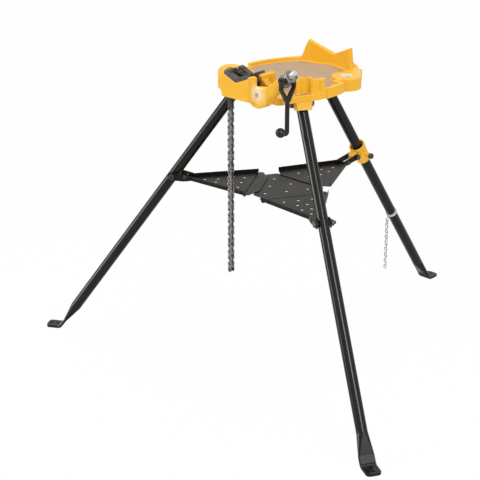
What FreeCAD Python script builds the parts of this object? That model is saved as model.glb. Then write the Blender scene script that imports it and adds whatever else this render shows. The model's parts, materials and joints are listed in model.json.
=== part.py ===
import FreeCAD, Part
import math
import os

os.makedirs("parts", exist_ok=True)
V = FreeCAD.Vector
ORIGIN = V(0, 0, 0)
UP = V(0, 0, 1)
ACROSS = V(0, 1, 0)

# Tripod pipe vise stand. +X is the crank side, -Y the vise end, Z=0 the floor.
# The parts are drawn about the head's own middle and moved by FRAME_SHIFT at the end,
# so that the origin lies on the floor under the middle of the footprint.

# Legs: round tube, flattened and bent at the foot
TUBE_R = 15.875
TUBE_BORE_R = 12.9
TILT = math.radians(35.2)
PIVOT_Z = 832.0
FRONT_PIVOT_R = 139.1
REAR_PIVOT_R = 166.1
LEG_TOP = 14.0
TAPER_START = 925.0
TAPER_END = 985.0
FOOT_T = 8.0
FOOT_W = 46.0
FOOT_LENGTH = 47.0
FOOT_BEND_R = 16.0
FOOT_HOLE_R = 4.5
FOOT_HOLES = (15.0, 34.0)
AZIMUTH = {"front_right": -30.0, "front_left": -150.0, "rear": 90.0}
RUNNING = 0.05

# Tray
TRAY_Z = 538.3
SHEET = 2.0
PANEL_Z = TRAY_Z - 0.3
BOLT_ALONG = 348.0
BOLT_R = 5.0
HINGE_R = 98.0
STRIP_IN = 61.0
ROLL_R = 3.5
ROLL_Z = TRAY_Z - 3.8
WIRE_R = 2.0
ARM_HALF_IN = 104.0
ARM_HALF_OUT = 19.0
REAR_ARM_IN = 66.0
REAR_ARM_END = 290.0
REAR_RIVET_R = 279.0
REAR_LUG_HALF = 12.0
ARM_END = 306.0
PANEL_R = 62.5
KNUCKLES = 5
KNUCKLE_GAP = 0.4
LIP = 12.0
HOLE_PITCH = 37.3
PERF_R = 5.0
REAR_PIN_R = 326.0
REAR_PIN_Z = 552.0
LOCK_ALONG = 343.0
COLLAR_TRAVEL = 7.0
COLLAR_TOP = 302.0
COLLAR_LOW = 367.0
KEEPER_ALONG = 642.0
KEEPER_LINKS = 21
KEEPER_UPPER = 11
KEEPER_PITCH = 8.6

# Head
FLOOR_TOP = 865.0
FLOOR_BOTTOM = 857.0
RIM_TOP = 877.0
SKIRT_Z = 846.0
DISH_A = 177.0
DISH_B = 262.0
DISH_Y = -4.0
WALL = 12.0
EAR = V(129, 119, 0)
EAR_R = 43.0
EAR_HOLE_R = 17.7
CHAIN_Y = -174.0
BLOCK_FRONT = -209.0
BLOCK_BACK = -109.0
JAW_T = 16.0
REAR_JAW_Y = -150.0
SEAT_Z = 897.5
JAW_RISE = 12.5
V_ANGLE = math.radians(22)
V_SLOPE = math.tan(V_ANGLE)
JAW_HALF = 45.0
PITCH = 19.05
PLATE_H = 15.0
LINK_PIN_R = 3.0
GUIDE = V(66, CHAIN_Y, 871)
GUIDE_R = 6.0
WRAP_R = 16.8
NUT = V(161, CHAIN_Y, 931)
SCREW_R = 8.0
KNOB = V(137.5, CHAIN_Y, 774)
SLOT_X = GUIDE.x - WRAP_R
FREE_X = -51.0
LANE = 10.5


# ---------- helpers ----------
def box(x0, y0, z0, x1, y1, z1):
    return Part.makeBox(x1 - x0, y1 - y0, z1 - z0, V(x0, y0, z0))


def rod(start, direction, radius, length):
    return Part.makeCylinder(radius, length, start, direction)


def flat_face(points):
    return Part.Face(Part.makePolygon(points + points[:1]))


def prism(points, direction):
    return flat_face(points).extrude(direction)


def plan(points, z0, z1):
    return prism([V(x, y, z0) for x, y in points], V(0, 0, z1 - z0))


def front_view(points, y0, y1):
    return prism([V(x, y0, z) for x, z in points], V(0, y1 - y0, 0))


def side_view(points, half_width):
    """Outline in the r-z plane of an arm or a leg, extruded to both sides."""
    return prism([V(r, -half_width, z) for r, z in points], V(0, 2 * half_width, 0))


def turned(shape, azimuth, centre=ORIGIN, axis=UP):
    moved = shape.copy()
    moved.rotate(centre, axis, azimuth)
    return moved


def corners(centre, axis, radius, sides):
    """Corners of a regular polygon square to the axis."""
    side = axis.cross(UP)
    if side.Length < 0.01:
        side = V(1, 0, 0)
    side = side / side.Length
    other = axis.cross(side)
    points = []
    for number in range(sides):
        angle = 2 * math.pi * number / sides
        points.append(centre + side * (radius * math.cos(angle)) + other * (radius * math.sin(angle)))
    return points


def bar(start, axis, radius, length, sides=12):
    """Small round bar drawn with flats."""
    return prism(corners(start, axis, radius, sides), axis * length)


def hexagon(centre, axis, across_flats, height):
    return bar(centre, axis, across_flats / math.sqrt(3), height, 6)


def faceted_turning(start, axis, profile, sides):
    """Turned piece in flats, from distances along the axis and the radius at each."""
    rings = [corners(start + axis * distance, axis, radius, sides) for distance, radius in profile]
    faces = [flat_face(rings[0]), flat_face(rings[-1])]
    for low, high in zip(rings, rings[1:]):
        for number in range(sides):
            after = (number + 1) % sides
            faces.append(flat_face([low[number], low[after], high[after], high[number]]))
    return Part.makeSolid(Part.makeShell(faces))


def along_leg(pivot_r, along, out=0.0):
    r = pivot_r + along * math.sin(TILT) + out * math.cos(TILT)
    z = PIVOT_Z - along * math.cos(TILT) + out * math.sin(TILT)
    return V(r, 0, z)


def leg_direction():
    return V(math.sin(TILT), 0, -math.cos(TILT))


def flat_section(centre, width_axis, thin_axis, sides):
    """Section of a flattened tube: a bar with rounded edges."""
    half = (FOOT_W - FOOT_T) / 2
    radius = FOOT_T / 2 / math.cos(math.pi / sides)
    points = []
    for number in range(sides):
        angle = 2 * math.pi * (number + 0.5) / sides
        middle = math.copysign(half, math.cos(angle))
        across = middle + radius * math.cos(angle)
        points.append(centre + width_axis * across + thin_axis * (radius * math.sin(angle)))
    return Part.makePolygon(points + points[:1])


def round_section(centre, width_axis, thin_axis, sides):
    points = []
    for number in range(sides):
        angle = 2 * math.pi * (number + 0.5) / sides
        offset = width_axis * math.cos(angle) + thin_axis * math.sin(angle)
        points.append(centre + offset * (TUBE_R - 0.03))
    return Part.makePolygon(points + points[:1])


# ---------- legs ----------
def foot_corner(pivot_r):
    """Point where the tube's axis meets the middle plane of the foot pad."""
    along = (PIVOT_Z - FOOT_T / 2) / math.cos(TILT)
    return along, along_leg(pivot_r, along)


def foot(pivot_r):
    along, corner = foot_corner(pivot_r)
    turn = math.pi / 2 - TILT
    tangent = FOOT_BEND_R * math.tan(turn / 2)
    down = leg_direction()
    start = along_leg(pivot_r, TAPER_END)
    bend_in = corner - down * tangent
    bend_out = corner + V(tangent, 0, 0)
    centre = bend_out + V(0, 0, FOOT_BEND_R)
    middle = centre - (centre - corner).normalize() * FOOT_BEND_R
    tip = corner + V(FOOT_LENGTH, 0, 0)
    path = Part.Wire([Part.LineSegment(start, bend_in).toShape(),
                      Part.Arc(bend_in, middle, bend_out).toShape(),
                      Part.LineSegment(bend_out, tip).toShape()])
    normal = V(math.cos(TILT), 0, math.sin(TILT))
    section = flat_section(start, ACROSS, normal, 8)
    pad = path.makePipeShell([section], True, False)
    corner_r = 14.0
    for side in (-1, 1):
        inner = V(tip.x - corner_r, side * (FOOT_W / 2 - corner_r), -1)
        block = Part.makeBox(corner_r + 1, corner_r + 1, FOOT_T + 2,
                             V(inner.x, min(inner.y, inner.y + side * (corner_r + 1)), -1))
        pad = pad.cut(block.cut(rod(inner, UP, corner_r, FOOT_T + 2)))
    for distance in FOOT_HOLES:
        pad = pad.cut(rod(V(corner.x + distance, 0, -1), UP, FOOT_HOLE_R, FOOT_T + 2))
    return pad


def leg(pivot_r, cross_holes):
    down = leg_direction()
    normal = V(math.cos(TILT), 0, math.sin(TILT))
    top = along_leg(pivot_r, -LEG_TOP)
    tube = rod(top, down, TUBE_R, LEG_TOP + TAPER_START)
    bore = rod(top, down, TUBE_BORE_R, LEG_TOP + TAPER_START - 12)
    round_end = round_section(along_leg(pivot_r, TAPER_START), ACROSS, normal, 24)
    flat_end = flat_section(along_leg(pivot_r, TAPER_END), ACROSS, normal, 24)
    taper = Part.makeLoft([round_end, flat_end], True, True)
    body = tube.fuse([taper, foot(pivot_r)]).cut(bore)
    for along, radius in cross_holes:
        centre = along_leg(pivot_r, along)
        body = body.cut(rod(centre - ACROSS * 30, ACROSS, radius, 60))
    return body.removeSplitter()


def lock_slot():
    """Slot in one side of the rear leg, as long as the collar's travel."""
    top = along_leg(REAR_PIVOT_R, LOCK_ALONG)
    low = along_leg(REAR_PIVOT_R, LOCK_ALONG + COLLAR_TRAVEL)
    side = V(math.cos(TILT), 0, math.sin(TILT)) * 4.05
    middle = prism([top + side, low + side, low - side, top - side], V(0, -30, 0))
    return [rod(top, V(0, -1, 0), 4.05, 30), rod(low, V(0, -1, 0), 4.05, 30), middle]


# ---------- head ----------
def ellipse_face(a, b, z):
    curve = Part.Ellipse(V(0, DISH_Y + b, z), V(a, DISH_Y, z), V(0, DISH_Y, z))
    return Part.Face(Part.Wire([curve.toShape()]))


def dish_solid(inset, z0, z1):
    """Plan of the plate: an oval cut by the two slanting front edges and the ear's notch."""
    oval = ellipse_face(DISH_A - inset, DISH_B - inset, z0).extrude(V(0, 0, z1 - z0))
    d = inset
    keep = plan([(-56 + d, -150 + d), (-177 + d, 29 + d / 2), (-200, 60), (-200, 300), (200, 300),
                 (200, -40), (172 - d, -20), (162 - d, -69 + d / 2), (87 - d / 3, -139 + d),
                 (53 - d, -150 + d)], z0, z1)
    notch = box(146 - d, 60 - d, z0, 210, 172 + d, z1)
    return oval.common(keep).cut(notch)


def v_points(half, base, lift):
    return [(-half, base + half * V_SLOPE + lift), (0, base + lift), (half, base + half * V_SLOPE + lift)]


def socket(pivot_r):
    """Two cheeks, bolt bosses and the outer stop wall that the open leg leans on."""
    gap = TUBE_R + 0.7
    top = FLOOR_BOTTOM + 1
    cheek = side_view([(pivot_r - 24, top), (pivot_r + 25, top), (pivot_r + 26, SKIRT_Z),
                       (pivot_r + 36, 822), (pivot_r + 14, 815), (pivot_r - 10, 817), (pivot_r - 22, 832)], 25)
    trough = box(pivot_r - 60, -gap, 800, pivot_r + 60, gap, FLOOR_BOTTOM)
    inner_top = along_leg(pivot_r, -30, TUBE_R + 0.3)
    inner_low = along_leg(pivot_r, 40, TUBE_R + 0.3)
    wall = side_view([(inner_top.x, inner_top.z), (inner_low.x, inner_low.z), (pivot_r + 60, 800),
                      (pivot_r + 60, 870)], gap + 0.5)
    wall = wall.common(side_view([(pivot_r - 24, top), (pivot_r + 25, top), (pivot_r + 26, SKIRT_Z),
                                  (pivot_r + 36, 822), (pivot_r - 24, 822)], 30))
    side_taper = []
    for side in (-1, 1):
        edge = prism([V(0, side * 25.5, 850), V(0, side * 21, 814), V(0, side * 40, 814), V(0, side * 40, 850)],
                     V(pivot_r + 80, 0, 0))
        side_taper.append(edge)
    body = cheek.cut(trough).fuse(wall).cut(side_taper)
    bosses = []
    for side in (-1, 1):
        bosses.append(rod(V(pivot_r, side * gap, PIVOT_Z), V(0, side, 0), 12, 25.2 - gap))
    cover = box(pivot_r - 45, -26, SKIRT_Z, pivot_r + 26, 26, FLOOR_TOP).cut(trough)
    return body.fuse(bosses + [cover]).cut(rod(V(pivot_r, -40, PIVOT_Z), ACROSS, 6.05, 80))


def v_block():
    """Front block: V seat, cut-back right corner and the dome behind its left shoulder."""
    top = SEAT_Z + JAW_HALF * V_SLOPE + 1
    outline = [(-54, SKIRT_Z + 3), (57, SKIRT_Z + 3), (60, 902), (60, top + 1), (55, top + 4), (JAW_HALF, top + 4)]
    outline += v_points(JAW_HALF, SEAT_Z, 0)[::-1]
    outline += [(-JAW_HALF, top), (-52, top - 1), (-57, top - 9), (-57, 874)]
    block = front_view(outline, BLOCK_FRONT, BLOCK_BACK)
    corner = plan([(49, BLOCK_FRONT - 5), (49, BLOCK_FRONT), (61, -193), (80, -193), (80, BLOCK_FRONT - 5)], 800, 960)
    seat = front_view(v_points(JAW_HALF, SEAT_Z, 0) + [(JAW_HALF, 960), (-JAW_HALF, 960)], BLOCK_FRONT - 1, -79)
    slope = front_view([(50, 864), (97, 864), (97, 872), (84, 886), (66, 905), (60, 910), (50, 910)], -163.5, -142)
    return block.cut(corner).fuse([dome(), slope]).cut(seat)


def dome():
    """Rounded swelling through which the free chain drops."""
    solid = rod(V(-62, -160, 862), UP, 38, 62)
    return solid.makeFillet(18.5, [e for e in solid.Edges if e.BoundBox.ZMin > 920])


def screw_axis():
    """Direction of the chain screw and its start, where it leaves the guide pin."""
    gap = NUT - GUIDE
    angle = math.atan2(gap.z, gap.x) + math.asin(WRAP_R / math.hypot(gap.x, gap.z))
    direction = V(math.cos(angle), 0, math.sin(angle))
    start = GUIDE + V(math.sin(angle), 0, -math.cos(angle)) * WRAP_R
    return start, direction


def screw_housing():
    start, direction = screw_axis()
    mouth = (NUT - start).Length - 19
    tube = rod(start - direction * 6, direction, 18, mouth + 6)
    boss = rod(V(GUIDE.x, -194, GUIDE.z), ACROSS, 38, 36).common(box(0, -210, 800, 120, -100, 893))
    web = front_view([(44, 850), (44, 893), (54, 893), (72, 896), (100, 901), (113, 910), (126, 920),
                      (134, 927), (146, 917), (88, 846)], -192, -158)
    bridge = plan([(40, -170), (118, -170), (128, -160), (150, -82), (90, -120), (40, -130)], SKIRT_Z, FLOOR_TOP)
    return [tube, boss, web, bridge]


def housing_cuts():
    """Bore, guide pocket, the lane across the seat and the slots at both of its ends."""
    start, direction = screw_axis()
    bore = rod(start - direction * 2, direction, 12.2, (NUT - start).Length)
    near = CHAIN_Y - LANE
    far = CHAIN_Y + LANE
    pocket = rod(V(GUIDE.x, near, GUIDE.z), ACROSS, 25.5, 2 * LANE)
    inner = 41.5
    right_slot = box(inner, near, GUIDE.z, 58.5, far, 960)
    left_slot = box(-61, near, 800, -inner, far, 960)
    lane = front_view([(-inner - 1, 895), (-33, SEAT_Z + 8), (33, SEAT_Z + 8), (inner + 1, 895),
                       (inner + 1, 960), (-inner - 1, 960)], near, far)
    shelf = front_view([(57, 882), (98, 882), (118, 960), (57, 960)], near, far)
    return [bore, pocket, right_slot, left_slot, lane, shelf]


def bender_wall():
    """Raised wall with two upright bending grooves in its outer face."""
    wall = plan([(171, -24), (168, -52), (128, -99.4), (112, -96), (154, -48), (158, -24)], SKIRT_Z, 906)
    along = V(-76, -90, 0).normalize()
    out = V(90, -76, 0).normalize()
    first = V(168, -52, 0) + along * 36 + out * 2
    second = V(171, -52, 0)
    lips = [rod(first + V(0, 0, FLOOR_BOTTOM), UP, 20, 55).common(plan([(128, -99.4), (168, -52), (154, -48),
                                                                      (112, -96)], FLOOR_BOTTOM, 912))]
    wall = wall.fuse(lips)
    for centre, radius in ((first, 15), (second, 11)):
        wall = wall.cut(rod(centre + V(0, 0, SKIRT_Z + 24), UP, radius, 80))
        wall = wall.cut(Part.makeSphere(radius, centre + V(0, 0, SKIRT_Z + 24)))
    return wall


def v_rest():
    band = plan([(-108, 188), (-66, 194), (0, 213), (66, 194), (92, 190),
                 (90, 205), (64, 208), (0, 229), (-64, 208), (-104, 204)], FLOOR_BOTTOM, 940)
    profile = front_view([(-108, 840), (-104, 877), (-80, 934), (0, 899), (78, 934), (87, 877), (90, 840)],
                         150, 260)
    return band.common(profile)


def ribs():
    pieces = []
    for name, angle in AZIMUTH.items():
        reach = REAR_PIVOT_R if name == "rear" else FRONT_PIVOT_R
        pieces.append(turned(box(0, -5, SKIRT_Z + 3, reach - 20, 5, FLOOR_BOTTOM + 1), angle))
    return pieces


def head_casting():
    shell = dish_solid(0, SKIRT_Z, RIM_TOP)
    shell = shell.cut([dish_solid(WALL, FLOOR_TOP, RIM_TOP + 5), dish_solid(WALL, SKIRT_Z - 5, FLOOR_BOTTOM)])
    shell = shell.cut([box(-200, -300, FLOOR_TOP, 200, -24, 900), box(-200, -60, FLOOR_TOP, 0, 29, 900)])
    ear = rod(EAR + V(0, 0, 840), UP, EAR_R, RIM_TOP - 840)
    ear_web = plan([(100, 100), (166, 135), (118, 205), (90, 200)], SKIRT_Z, RIM_TOP)
    sockets = [turned(socket(REAR_PIVOT_R if name == "rear" else FRONT_PIVOT_R), angle)
               for name, angle in AZIMUTH.items()]
    body = shell.fuse([ear, ear_web, v_rest(), bender_wall(), v_block()] + screw_housing() + ribs() + sockets)
    body = body.cut(housing_cuts() + [rod(EAR + V(0, 0, 830), UP, EAR_HOLE_R, 60)])
    body = body.cut([rod(V(GUIDE.x, -200, GUIDE.z), ACROSS, GUIDE_R + RUNNING, 50)])
    body = body.cut(leg_spaces() + screw_spaces())
    return body.removeSplitter()


def leg_spaces():
    """Room for each tube's top end as the leg folds."""
    spaces = []
    for name, angle in AZIMUTH.items():
        pivot_r = REAR_PIVOT_R if name == "rear" else FRONT_PIVOT_R
        gap = TUBE_R + 0.7
        spaces.append(turned(rod(V(pivot_r, -gap, PIVOT_Z), ACROSS, 23.0, 2 * gap), angle))
        spaces.append(turned(box(pivot_r - 60, -gap, 800, pivot_r + 4, gap, FLOOR_BOTTOM), angle))
    return spaces


def vise_jaw(front_y):
    thick = JAW_RISE * math.cos(V_ANGLE)
    seat = v_points(JAW_HALF, SEAT_Z, 0)
    end_x = JAW_HALF - thick * math.sin(V_ANGLE)
    end_z = seat[2][1] + thick * math.cos(V_ANGLE)
    outline = seat + [(end_x, end_z), (0, SEAT_Z + JAW_RISE), (-end_x, end_z)]
    jaw = front_view(outline, front_y, front_y + JAW_T)
    teeth = []
    for side in (-1, 1):
        for number in range(6):
            x = side * (7 + 5.4 * number)
            z = SEAT_Z + JAW_RISE + abs(x) * V_SLOPE
            teeth.append(front_view([(x - 2, z + 3), (x + 2, z + 3), (x, z - 1.6)], front_y, front_y + JAW_T))
    jaw = jaw.cut(teeth)
    return jaw.cut(screw_shapes(front_y + JAW_T / 2, RUNNING))


def screw_shapes(y, clearance):
    """Two sunk cap screws that hold one jaw, square to its arms; with a clearance, their holes."""
    pieces = []
    extra = 4 if clearance else 0
    for side in (-1, 1):
        inward = V(side * math.sin(V_ANGLE), 0, -math.cos(V_ANGLE))
        face = V(side * 26, y, SEAT_Z + JAW_RISE + 26 * V_SLOPE) + inward * 2.2
        head = bar(face - inward * extra, inward, 5 + clearance, 5 + extra)
        shank = bar(face + inward * 4.9, inward, 3 + clearance, 18, 8)
        pieces.append(head.fuse(shank))
    return pieces


def screw_spaces():
    return screw_shapes(BLOCK_FRONT + JAW_T / 2, RUNNING) + screw_shapes(REAR_JAW_Y + JAW_T / 2, RUNNING)


def pivot_bolts_and_nuts():
    bolts = []
    nuts = []
    for name, angle in AZIMUTH.items():
        pivot_r = REAR_PIVOT_R if name == "rear" else FRONT_PIVOT_R
        shank = rod(V(pivot_r, -25.3, PIVOT_Z), ACROSS, 6, 63)
        head = hexagon(V(pivot_r, -32.8, PIVOT_Z), ACROSS, 19, 7.5)
        nut = hexagon(V(pivot_r, 25.3, PIVOT_Z), ACROSS, 19, 10).cut(rod(V(pivot_r, 20, PIVOT_Z), ACROSS, 6.05, 20))
        bolts.append(turned(shank.fuse(head), angle))
        nuts.append(turned(nut, angle))
    return bolts, nuts


# ---------- vise chain ----------
def chain_path():
    """Centre line of the chain, from the screw's end to the free end, as evenly spaced points."""
    start, direction = screw_axis()
    low = SEAT_Z + (PLATE_H / 2 + 0.6) / math.cos(V_ANGLE)
    under = GUIDE + V(0, 0, -WRAP_R)
    bends = [(line_meet(start, direction, under, V(1, 0, 0)), WRAP_R),
             (V(SLOT_X, CHAIN_Y, under.z), WRAP_R),
             (V(SLOT_X, CHAIN_Y, low + SLOT_X * V_SLOPE), 17),
             (V(0, CHAIN_Y, low), 30),
             (V(FREE_X, CHAIN_Y, low - FREE_X * V_SLOPE), 17)]
    stops = [start + direction * 66] + [corner for corner, radius in bends] + [V(FREE_X, CHAIN_Y, 300)]
    edges = []
    last = stops[0]
    for (corner, radius), before, after in zip(bends, stops, stops[2:]):
        to_before = (before - corner).normalize()
        to_after = (after - corner).normalize()
        half = to_before.getAngle(to_after) / 2
        first = corner + to_before * (radius / math.tan(half))
        second = corner + to_after * (radius / math.tan(half))
        middle = corner + (to_before + to_after).normalize() * (radius / math.sin(half) - radius)
        if (first - last).Length > 0.01:
            edges.append(Part.LineSegment(last, first).toShape())
        edges.append(Part.Arc(first, middle, second).toShape())
        last = second
    edges.append(Part.LineSegment(last, stops[-1]).toShape())
    return Part.Wire(edges).discretize(Number=6000)


def line_meet(point, direction, other, other_direction):
    """Meeting point of two lines in the chain's plane."""
    gap = other - point
    scale = direction.x * other_direction.z - direction.z * other_direction.x
    travel = (gap.x * other_direction.z - gap.z * other_direction.x) / scale
    return point + direction * travel


def chain_pins():
    points = chain_path()
    pins = [points[0]]
    for point in points:
        if (point - pins[-1]).Length >= PITCH:
            pins.append(point)
    return pins


def link_outline(a, b, y):
    """Plate with eased ends, drawn between two pins."""
    run = (b - a).normalize()
    rise = V(-run.z, 0, run.x)
    half = PLATE_H / 2
    points = []
    for end, sign in ((b, 1), (a, -1)):
        for ahead, up in ((0.3, 1.0), (0.85, 0.52), (0.85, -0.52), (0.3, -1.0)):
            points.append(end + run * (sign * ahead * half) + rise * (sign * up * half))
    return [V(p.x, y, p.z) for p in points]


def link_plates(a, b, index, holes=()):
    """One link: an inner pair or an outer pair of plates."""
    inner = index % 2 == 0
    near, thick = (1.9, 2.9) if inner else (5.0, 2.4)
    plates = []
    for side in (-1, 1):
        plate = prism(link_outline(a, b, CHAIN_Y + side * near), V(0, side * thick, 0))
        for centre, radius in holes:
            plate = plate.cut(rod(V(centre.x, CHAIN_Y - 12, centre.z), ACROSS, radius, 24))
        plates.append(plate)
    return plates


def link_pin(centre, sides=10):
    return bar(V(centre.x, CHAIN_Y - 8.6, centre.z), ACROSS, LINK_PIN_R, 17.2, sides)


def swing_pin(centre):
    """Round pin on which a free length of chain swings."""
    return rod(V(centre.x, CHAIN_Y - 8.6, centre.z), ACROSS, LINK_PIN_R, 17.2)


def chain_parts():
    """Plates and pins of the seated chain and of the three hanging lengths."""
    pins = chain_pins()
    first_free = next(i for i, p in enumerate(pins) if p.x < -45 and p.z < 842)
    first_free += first_free % 2
    joints = [first_free, first_free + 10, first_free + 20, len(pins) - 1]
    plates = []
    for i in range(1, first_free):
        plates += link_plates(pins[i], pins[i + 1], i)
    groups = {"seated": (plates, [link_pin(p) for p in pins[1:first_free]] + [swing_pin(pins[first_free])])}
    for name, first, last in zip(("upper", "middle", "lower"), joints, joints[1:]):
        plates = []
        for i in range(first, last):
            holes = ((pins[i], LINK_PIN_R + 0.08),) if i == first else ()
            plates += link_plates(pins[i], pins[i + 1], i, holes)
        end_pin = link_pin(pins[last]) if name == "lower" else swing_pin(pins[last])
        groups[name] = (plates, [link_pin(p) for p in pins[first + 1:last]] + [end_pin])
    return groups, [pins[i] for i in joints[:3]], pins


# ---------- screw, nut and crank ----------
def chain_screw(pins):
    start, direction = screw_axis()
    tip = NUT + direction * 33
    eye = pins[0]
    shaft = rod(eye + direction * 8, direction, SCREW_R, (tip - eye).Length - 8)
    tongue = rod(V(eye.x, CHAIN_Y - 1.7, eye.z), ACROSS, 6.5, 3.4)
    rise = V(-direction.z, 0, direction.x) * 6.0
    end = eye + direction * 14
    neck = prism([p - ACROSS * 1.7 for p in (eye + rise, end + rise, end - rise, eye - rise)], ACROSS * 3.4)
    return shaft.fuse([tongue, neck]).cut(rod(V(eye.x, CHAIN_Y - 5, eye.z), ACROSS, LINK_PIN_R, 10))


def end_link(pins):
    """Link between the screw's eye and the chain's first pin, loose on the pin."""
    plates = link_plates(pins[0], pins[1], 0, ((pins[0], LINK_PIN_R), (pins[1], LINK_PIN_R + 1.0)))
    return plates, swing_pin(pins[0])


def crank_nut():
    """Ribbed nut with a flange at each end."""
    start, direction = screw_axis()
    low = NUT - direction * 15
    outer = corners(low, direction, 17.0, 20)
    inner = corners(low, direction, 14.8, 20)
    body = prism([outer[i] if i % 2 == 0 else inner[i] for i in range(20)], direction * 30)
    body = body.fuse([bar(low, direction, 19.5, 5, 24), bar(NUT + direction * 10, direction, 18.5, 5, 24)])
    return body.cut([rod(low - direction, direction, SCREW_R + RUNNING, 40)] + crank_pivot_pins())


def crank_pivot_pins():
    pins = []
    for side in (-1, 1):
        pins.append(rod(V(NUT.x, NUT.y + side * 11, NUT.z), V(0, side, 0), 4, 21))
    return pins


def thrust_washer():
    start, direction = screw_axis()
    base = NUT - direction * 19
    return rod(base, direction, 17, 3.7).cut(rod(base - direction, direction, SCREW_R + 0.6, 8))


def crank_fork():
    """Forked end, shank and bent tail of the crank, hanging from the nut."""
    outer = [(-30, 0), (-30, 26), (-7, 64), (7, 64), (30, 26), (30, 0)]
    inner = [(21, 0), (21, 28), (0, 53), (-21, 28), (-21, 0)]
    fork = prism([NUT + V(-5.5, y, -d) for y, d in outer + inner], V(11, 0, 0))
    eyes = [rod(NUT + V(0, hand * 21, 0), V(0, hand, 0), 9, 9) for hand in (-1, 1)]
    bend = 9.5
    top = NUT + V(0, 0, -60)
    turn_in = V(NUT.x, CHAIN_Y, KNOB.z + bend)
    turn_out = V(NUT.x - bend, CHAIN_Y, KNOB.z)
    middle = V(NUT.x - bend + bend / math.sqrt(2), CHAIN_Y, KNOB.z + bend - bend / math.sqrt(2))
    path = Part.Wire([Part.LineSegment(top, turn_in).toShape(), Part.Arc(turn_in, middle, turn_out).toShape()])
    points = corners(top, UP, 6.5, 12)
    shank = path.makePipeShell([Part.makePolygon(points + points[:1])], True, False)
    tail = bar(turn_out + V(1, 0, 0), V(-1, 0, 0), 5.5, 6.4)
    fork = fork.fuse(eyes + [shank, tail])
    return fork.cut(rod(NUT - ACROSS * 40, ACROSS, 4.05, 80)).removeSplitter()


def crank_knob():
    """Ball with a short neck, pushed on the crank's tail."""
    ball = 14.0
    profile = []
    for number in range(8):
        angle = math.radians(168 - 19.1 * number)
        profile.append((ball * math.cos(angle), ball * math.sin(angle)))
    profile += [(11.5, 8.0), (13.2, 8.0)]
    knob = faceted_turning(KNOB, V(1, 0, 0), profile, 20)
    return knob.cut(rod(KNOB + V(8.5, 0, 0), V(1, 0, 0), 5.5, 10))


# ---------- tray ----------
def perforations(first_r, centre_t=0.0):
    holes = []
    for row in range(4):
        count = (3, 2, 2, 1)[row]
        spread = (43, 29, 29, 0)[row]
        for i in range(count):
            t = centre_t + (i - (count - 1) / 2) * spread
            holes.append(bar(V(first_r + row * HOLE_PITCH, t, TRAY_Z - 1), UP, PERF_R, SHEET + 2, 16))
    return holes


def tapered_sheet(r_in, corner_r, corner_half, straight_r, r_out):
    """Arm of the tray: a sheet that narrows to a straight end, with a lip along both sides."""
    side_line = [(corner_r, ARM_HALF_IN), (straight_r, ARM_HALF_OUT), (r_out, ARM_HALF_OUT)]
    inside = [(r_out, ARM_HALF_OUT - SHEET), (straight_r, ARM_HALF_OUT - SHEET), (corner_r, ARM_HALF_IN - SHEET)]
    points = [(r_in, corner_half)] + side_line
    points += [(r, -t) for r, t in points[::-1]]
    sheet = plan(points, TRAY_Z, TRAY_Z + SHEET)
    lips = []
    for side in (-1, 1):
        lips.append(plan([(r, side * t) for r, t in side_line + inside], TRAY_Z, TRAY_Z + LIP))
    return sheet.fuse(lips)


def knuckles(first, web_in, web_out):
    """Every second rolled knuckle along the hinge line, with the sheet that carries it."""
    pieces = []
    span = 2 * (ARM_HALF_IN - 4) / KNUCKLES
    for number in range(first, KNUCKLES, 2):
        t0 = -ARM_HALF_IN + 4 + number * span + KNUCKLE_GAP / 2
        length = span - KNUCKLE_GAP
        roll = bar(V(HINGE_R, t0, ROLL_Z), ACROSS, ROLL_R, length)
        web = box(HINGE_R + web_in, t0, ROLL_Z, HINGE_R + web_out, t0 + length, TRAY_Z + 0.5)
        pieces.append(roll.fuse(web))
    return pieces


def wire_bore(radius):
    return rod(V(HINGE_R, -ARM_HALF_IN - 5, ROLL_Z), ACROSS, radius, 2 * ARM_HALF_IN + 10)


BOLT_R_POS = FRONT_PIVOT_R + BOLT_ALONG * math.sin(TILT)
BOLT_Z = PIVOT_Z - BOLT_ALONG * math.cos(TILT)


def front_arm():
    inner = HINGE_R + 1.6
    arm = tapered_sheet(inner, inner, ARM_HALF_IN, 280, ARM_END)
    arm = arm.fuse(knuckles(0, 1.6, 3.4)).cut(wire_bore(WIRE_R + RUNNING))
    half = ARM_HALF_OUT - SHEET
    leg_notch = box(ARM_END - 9, -half, TRAY_Z - 1, ARM_END + 1, half, TRAY_Z + SHEET + 1)
    return arm.cut(perforations(130) + [rivet_bar(), leg_notch]).removeSplitter()


def rivet_bar():
    return bar(V(ARM_END - 7, -30, BOLT_Z), ACROSS, 3, 60)


def rivets():
    """Rivets with domed heads outside and upset tails inside the lips."""
    pieces = []
    for side in (-1, 1):
        out = V(0, side, 0)
        base = V(ARM_END - 7, 0, BOLT_Z)
        shank = bar(base + out * (ARM_HALF_OUT - SHEET - 0.2), out, 3, 5.4)
        head = faceted_turning(base + out * (ARM_HALF_OUT + 3), out, [(0, 5.5), (1.2, 5.0), (2.2, 3.2)], 12)
        tail = bar(base + out * (ARM_HALF_OUT - SHEET - 2), out, 4.5, 2)
        pieces.append(shank.fuse([head, tail]))
    return pieces


def brackets():
    pieces = []
    for side in (-1, 1):
        points = [(ARM_END - 23, TRAY_Z), (ARM_END - 4, TRAY_Z - 3), (BOLT_R_POS - 8, BOLT_Z - 12),
                  (BOLT_R_POS + 8, BOLT_Z - 12), (BOLT_R_POS + 13, BOLT_Z), (BOLT_R_POS + 8, BOLT_Z + 12),
                  (BOLT_R_POS - 8, BOLT_Z + 13), (ARM_END - 23, TRAY_Z + LIP)]
        ear = prism([V(r, side * ARM_HALF_OUT, z) for r, z in points], V(0, side * 3, 0))
        ear = ear.cut([rod(V(BOLT_R_POS, -30, BOLT_Z), ACROSS, BOLT_R + RUNNING, 60), rivet_bar()])
        pieces.append(ear)
    return pieces


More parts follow.
